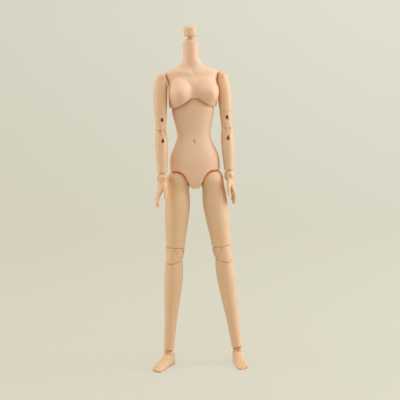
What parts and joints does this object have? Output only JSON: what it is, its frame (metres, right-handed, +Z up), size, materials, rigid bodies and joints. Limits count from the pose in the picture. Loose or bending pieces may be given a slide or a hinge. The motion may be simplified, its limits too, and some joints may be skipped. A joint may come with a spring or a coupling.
{
  "type": "jointed doll body",
  "caption": "Standing jointed fashion doll body without a head, with slim ball and hinge jointed arms and legs, soft torso covers and a round head plug.",
  "frame": {"origin": "on the floor, under the middle of the bounding box of the standing doll", "axes": "+Z up along the body; the doll faces -Y, with its left side at +X"},
  "size_m": [0.0678, 0.0334, 0.2353],
  "materials": {
    "soft_cover": "soft matte vinyl, pinkish peach",
    "limb_plastic": "satin moulded plastic, yellowish peach",
    "neck_plastic": "satin moulded plastic, light peach",
    "inner_plastic": "satin moulded plastic inside the joints"
  },
  "bodies": {
    "pelvis": {"pelvis_frame": "inner_plastic", "torso_cover": "soft_cover"},
    "waist_spindle": {"waist_ball": "inner_plastic"},
    "chest": {"chest_frame": "inner_plastic", "chest_cover": "soft_cover"},
    "neck_base": {"neck_collar": "neck_plastic"},
    "neck": {"neck_link": "neck_plastic"},
    "head_mount": {"head_plug": "neck_plastic"},
    "right_shoulder": {"right_shoulder_peg": "inner_plastic"},
    "right_upper_arm": {"right_upper_arm": "limb_plastic", "right_shoulder_pin": "limb_plastic"},
    "right_elbow_sleeve": {"right_elbow_sleeve": "limb_plastic", "right_elbow_upper_pin": "limb_plastic"},
    "right_elbow_link": {"right_elbow_link": "limb_plastic"},
    "right_forearm": {"right_forearm": "limb_plastic", "right_elbow_lower_pin": "limb_plastic"},
    "right_wrist": {"right_wrist_peg": "inner_plastic"},
    "right_hand": {"right_hand": "limb_plastic", "right_wrist_pin": "limb_plastic"},
    "right_hip_peg": {"right_hip_peg": "inner_plastic"},
    "right_hip_yoke": {"right_hip_yoke": "inner_plastic", "right_hip_pin": "inner_plastic"},
    "right_thigh": {"right_thigh": "limb_plastic"},
    "right_knee": {"right_knee_block": "limb_plastic", "right_kneecap": "limb_plastic", "right_knee_upper_pin": "limb_plastic"},
    "right_shin": {"right_shin": "limb_plastic", "right_knee_lower_pin": "limb_plastic"},
    "right_ankle_peg": {"right_ankle_peg": "inner_plastic"},
    "right_ankle_ball": {"right_ankle_ball": "inner_plastic", "right_ankle_pin": "inner_plastic"},
    "right_foot": {"right_foot": "limb_plastic"},
    "left_shoulder": {"left_shoulder_peg": "inner_plastic"},
    "left_upper_arm": {"left_upper_arm": "limb_plastic", "left_shoulder_pin": "limb_plastic"},
    "left_elbow_sleeve": {"left_elbow_sleeve": "limb_plastic", "left_elbow_upper_pin": "limb_plastic"},
    "left_elbow_link": {"left_elbow_link": "limb_plastic"},
    "left_forearm": {"left_forearm": "limb_plastic", "left_elbow_lower_pin": "limb_plastic"},
    "left_wrist": {"left_wrist_peg": "inner_plastic"},
    "left_hand": {"left_hand": "limb_plastic", "left_wrist_pin": "limb_plastic"},
    "left_hip_peg": {"left_hip_peg": "inner_plastic"},
    "left_hip_yoke": {"left_hip_yoke": "inner_plastic", "left_hip_pin": "inner_plastic"},
    "left_thigh": {"left_thigh": "limb_plastic"},
    "left_knee": {"left_knee_block": "limb_plastic", "left_kneecap": "limb_plastic", "left_knee_upper_pin": "limb_plastic"},
    "left_shin": {"left_shin": "limb_plastic", "left_knee_lower_pin": "limb_plastic"},
    "left_ankle_peg": {"left_ankle_peg": "inner_plastic"},
    "left_ankle_ball": {"left_ankle_ball": "inner_plastic", "left_ankle_pin": "inner_plastic"},
    "left_foot": {"left_foot": "limb_plastic"}
  },
  "joints": [
    {"name": "waist_turn", "type": "hinge", "parent": "pelvis", "child": "waist_spindle", "pos_m": [0.00256, 0.00283, 0.18089], "axis": [0.0052, 0, 1], "range_deg": [-17, 3]},
    {"name": "waist_bend", "type": "hinge", "parent": "waist_spindle", "child": "chest", "pos_m": [0.00256, 0.00283, 0.18089], "axis": [0.9925, 0.1219, -0.0052], "range_deg": [-5, 8]},
    {"name": "neck_turn", "type": "hinge", "parent": "chest", "child": "neck_base", "pos_m": [0.00278, 0.00283, 0.22379], "axis": [0.0052, 0, 1], "continuous": true},
    {"name": "neck_nod", "type": "hinge", "parent": "neck_base", "child": "neck", "pos_m": [0.00278, 0.00283, 0.22379], "axis": [0.9925, 0.1219, -0.0052], "range_deg": [-20, 20]},
    {"name": "head_turn", "type": "hinge", "parent": "neck", "child": "head_mount", "pos_m": [0.00278, 0.00283, 0.22379], "axis": [0.0052, 0, 1], "continuous": true},
    {"name": "right_shoulder_swing", "type": "hinge", "parent": "chest", "child": "right_shoulder", "pos_m": [-0.01749, 0.00035, 0.20049], "axis": [0.9601, 0.1177, 0.2538], "range_deg": [-175, 65]},
    {"name": "right_shoulder_raise", "type": "hinge", "parent": "right_shoulder", "child": "right_upper_arm", "pos_m": [-0.01749, 0.00035, 0.20049], "axis": [-0.0995, 0.9915, -0.0837], "range_deg": [0, 79.3]},
    {"name": "right_arm_twist", "type": "hinge", "parent": "right_upper_arm", "child": "right_elbow_sleeve", "pos_m": [-0.01937, -0.00184, 0.17671], "axis": [-0.008, -0.0849, -0.9964], "range_deg": [-51, 99]},
    {"name": "right_elbow_upper", "type": "hinge", "parent": "right_elbow_sleeve", "child": "right_elbow_link", "pos_m": [-0.01897, -0.00416, 0.17007], "axis": [-0.9672, -0.2523, 0.0293], "range_deg": [0, 75]},
    {"name": "right_elbow_lower", "type": "hinge", "parent": "right_elbow_link", "child": "right_forearm", "pos_m": [-0.01904, -0.0049, 0.16131], "axis": [-0.9672, -0.2523, 0.0293], "range_deg": [0, 75]},
    {"name": "right_wrist_turn", "type": "hinge", "parent": "right_forearm", "child": "right_wrist", "pos_m": [-0.01991, -0.00561, 0.13307], "axis": [-0.008, -0.0849, -0.9964], "range_deg": [-60, 90]},
    {"name": "right_wrist_bend", "type": "hinge", "parent": "right_wrist", "child": "right_hand", "pos_m": [-0.01991, -0.00561, 0.13307], "axis": [-0.2539, 0.9639, -0.0801], "range_deg": [-16, 32]},
    {"name": "right_hip_swing", "type": "hinge", "parent": "pelvis", "child": "right_hip_peg", "pos_m": [-0.0087, 0.00283, 0.13034], "axis": [-1, 0, 0.0052], "range_deg": [-6.6, 39.4]},
    {"name": "right_hip_spread", "type": "hinge", "parent": "right_hip_peg", "child": "right_hip_yoke", "pos_m": [-0.0087, 0.00283, 0.13034], "axis": [0.0002, 0.9991, 0.0419], "range_deg": [-5.6, 14.4]},
    {"name": "right_thigh_twist", "type": "hinge", "parent": "right_hip_yoke", "child": "right_thigh", "pos_m": [-0.0087, 0.00283, 0.13034], "axis": [0.1028, -0.0417, 0.9938], "range_deg": [-17, 28]},
    {"name": "right_knee_upper", "type": "hinge", "parent": "right_thigh", "child": "right_knee", "pos_m": [-0.01371, 0.00486, 0.08194], "axis": [0.8782, -0.4655, -0.1103], "range_deg": [0, 50]},
    {"name": "right_knee_lower", "type": "hinge", "parent": "right_knee", "child": "right_shin", "pos_m": [-0.01441, 0.00514, 0.07519], "axis": [0.8782, -0.4655, -0.1103], "range_deg": [0, 50]},
    {"name": "right_ankle_turn", "type": "hinge", "parent": "right_shin", "child": "right_ankle_peg", "pos_m": [-0.02129, 0.00793, 0.0086], "axis": [0.1028, -0.0417, 0.9938], "range_deg": [-46.36, 43.64]},
    {"name": "right_ankle_roll", "type": "hinge", "parent": "right_ankle_peg", "child": "right_ankle_ball", "pos_m": [-0.02129, 0.00793, 0.0086], "axis": [-0.4462, -0.8949, 0.0086], "range_deg": [-18.35, 5.65]},
    {"name": "right_ankle_flex", "type": "hinge", "parent": "right_ankle_ball", "child": "right_foot", "pos_m": [-0.02129, 0.00793, 0.0086], "axis": [0.8949, -0.4462, 0], "range_deg": [-20.49, 31.51]},
    {"name": "left_shoulder_swing", "type": "hinge", "parent": "chest", "child": "left_shoulder", "pos_m": [0.02281, 0.0053, 0.20028], "axis": [0.9574, 0.1177, -0.2638], "range_deg": [-175, 65]},
    {"name": "left_shoulder_raise", "type": "hinge", "parent": "left_shoulder", "child": "left_upper_arm", "pos_m": [0.02281, 0.0053, 0.20028], "axis": [0.1442, -0.986, 0.0834], "range_deg": [0, 79.5]},
    {"name": "left_arm_twist", "type": "hinge", "parent": "left_upper_arm", "child": "left_elbow_sleeve", "pos_m": [0.02484, 0.00358, 0.17647], "axis": [-0.0147, 0.0822, 0.9965], "range_deg": [-10, 50]},
    {"name": "left_elbow_upper", "type": "hinge", "parent": "left_elbow_sleeve", "child": "left_elbow_link", "pos_m": [0.0252, 0.00125, 0.16984], "axis": [-0.9894, -0.145, -0.0026], "range_deg": [0, 75]},
    {"name": "left_elbow_lower", "type": "hinge", "parent": "left_elbow_link", "child": "left_forearm", "pos_m": [0.02533, 0.00053, 0.16107], "axis": [-0.9894, -0.145, -0.0026], "range_deg": [0, 75]},
    {"name": "left_wrist_turn", "type": "hinge", "parent": "left_forearm", "child": "left_wrist", "pos_m": [0.02568, 0.00001, 0.13282], "axis": [-0.0147, 0.0822, 0.9965], "range_deg": [-10, 55]},
    {"name": "left_wrist_bend", "type": "hinge", "parent": "left_wrist", "child": "left_hand", "pos_m": [0.02568, 0.00001, 0.13282], "axis": [0.1442, -0.986, 0.0834], "range_deg": [0, 37]},
    {"name": "left_hip_swing", "type": "hinge", "parent": "pelvis", "child": "left_hip_peg", "pos_m": [0.0133, 0.00283, 0.13023], "axis": [-1, 0, 0.0052], "range_deg": [-6.6, 72.4]},
    {"name": "left_hip_spread", "type": "hinge", "parent": "left_hip_peg", "child": "left_hip_yoke", "pos_m": [0.0133, 0.00283, 0.13023], "axis": [-0.0002, -0.9991, -0.0419], "range_deg": [-6.7, 3.3]},
    {"name": "left_thigh_twist", "type": "hinge", "parent": "left_hip_yoke", "child": "left_thigh", "pos_m": [0.0133, 0.00283, 0.13023], "axis": [0.1115, 0.0416, -0.9929], "range_deg": [-17, 28]},
    {"name": "left_knee_upper", "type": "hinge", "parent": "left_thigh", "child": "left_knee", "pos_m": [0.01873, 0.00485, 0.08188], "axis": [0.8775, 0.4647, 0.118], "range_deg": [0, 50]},
    {"name": "left_knee_lower", "type": "hinge", "parent": "left_knee", "child": "left_shin", "pos_m": [0.01948, 0.00513, 0.07512], "axis": [0.8775, 0.4647, 0.118], "range_deg": [0, 50]},
    {"name": "left_ankle_turn", "type": "hinge", "parent": "left_shin", "child": "left_ankle_peg", "pos_m": [0.02695, 0.00792, 0.0086], "axis": [-0.1115, -0.0416, 0.9929], "range_deg": [-25.06, 64.94]},
    {"name": "left_ankle_roll", "type": "hinge", "parent": "left_ankle_peg", "child": "left_ankle_ball", "pos_m": [0.02695, 0.00792, 0.0086], "axis": [-0.1391, 0.9899, 0.0258], "range_deg": [-18.67, 5.33]},
    {"name": "left_ankle_flex", "type": "hinge", "parent": "left_ankle_ball", "child": "left_foot", "pos_m": [0.02695, 0.00792, 0.0086], "axis": [0.9903, 0.1392, 0], "range_deg": [-18.52, 33.48]}
  ]
}
